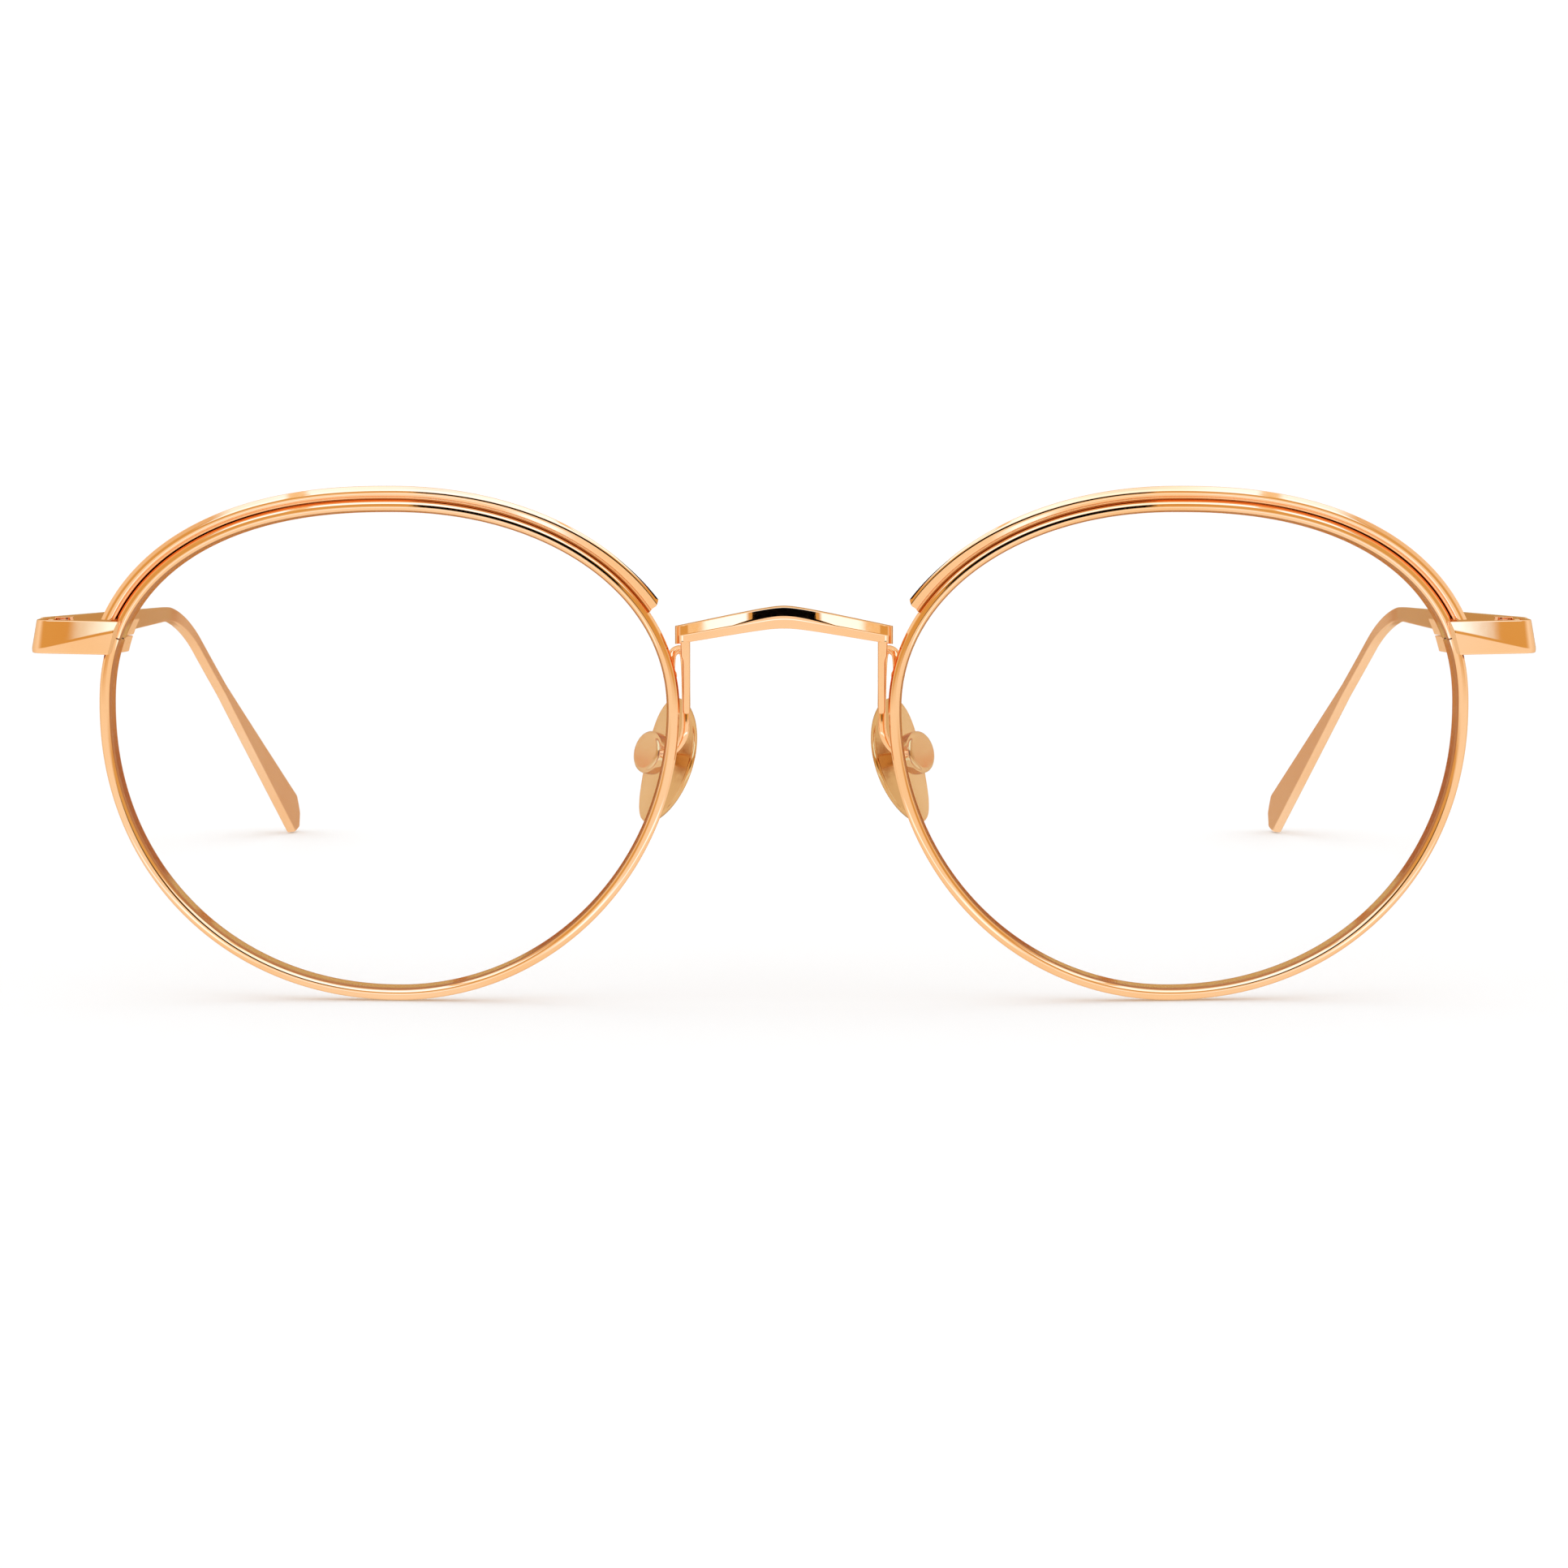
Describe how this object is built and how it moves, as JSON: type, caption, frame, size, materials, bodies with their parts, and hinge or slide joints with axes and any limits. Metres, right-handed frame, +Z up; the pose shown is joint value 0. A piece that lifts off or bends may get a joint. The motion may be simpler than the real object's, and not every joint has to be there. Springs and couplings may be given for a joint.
{
  "type": "eyeglasses",
  "caption": "Round metal-rimmed eyeglasses with brow bars, a gull bridge, wire-mounted rocking nose pads and folding flat temples.",
  "frame": {"origin": "centre of the bounding box at its foot, on the surface that the rims and the temple tips stand on", "axes": "-Y is the way the wearer looks, the temples run towards +Y, +X is the wearer's left, +Z is up"},
  "size_m": [0.1366, 0.1506, 0.0467],
  "materials": {
    "gold": "mirror-polished rose-gold plating on nickel-copper alloy",
    "screw": "polished, plated small screws",
    "lens": "clear colourless resin with a coated, polished surface"
  },
  "bodies": {
    "front": {"bridge": "gold", "left_eyewire": "gold", "right_eyewire": "gold", "left_brow_bar": "gold", "right_brow_bar": "gold", "left_lens": "lens", "right_lens": "lens", "left_pad_cup": "gold", "right_pad_cup": "gold", "left_pad_screw": "screw", "right_pad_screw": "screw", "left_pad_arm": "gold", "right_pad_arm": "gold", "left_endpiece": "gold", "right_endpiece": "gold", "left_rim_lock_upper": "gold", "right_rim_lock_upper": "gold", "left_rim_lock_lower": "gold", "right_rim_lock_lower": "gold", "left_rim_lock_screw": "screw", "right_rim_lock_screw": "screw", "left_hinge_leaf": "gold", "right_hinge_leaf": "gold", "left_hinge_screw": "screw", "right_hinge_screw": "screw"},
    "left_temple": {"left_temple": "gold", "left_temple_leaf": "gold"},
    "left_pad": {"left_nose_pad": "gold"},
    "right_temple": {"right_temple": "gold", "right_temple_leaf": "gold"},
    "right_pad": {"right_nose_pad": "gold"}
  },
  "joints": [
    {"name": "left_temple_fold", "type": "hinge", "parent": "front", "child": "left_temple", "pos_m": [0.0656, -0.06545, 0.03288], "axis": [0, 0, 1], "range_deg": [0, 88]},
    {"name": "right_temple_fold", "type": "hinge", "parent": "front", "child": "right_temple", "pos_m": [-0.0656, -0.06545, 0.03288], "axis": [0, 0, -1], "range_deg": [0, 76]},
    {"name": "left_pad_rock", "type": "hinge", "parent": "front", "child": "left_pad", "pos_m": [0.01193, -0.06785, 0.02214], "axis": [0.5754, 0.8105, 0.1091], "range_deg": [-8, 8]},
    {"name": "right_pad_rock", "type": "hinge", "parent": "front", "child": "right_pad", "pos_m": [-0.01193, -0.06785, 0.02214], "axis": [0.5754, -0.8105, -0.1091], "range_deg": [-8, 8]}
  ]
}
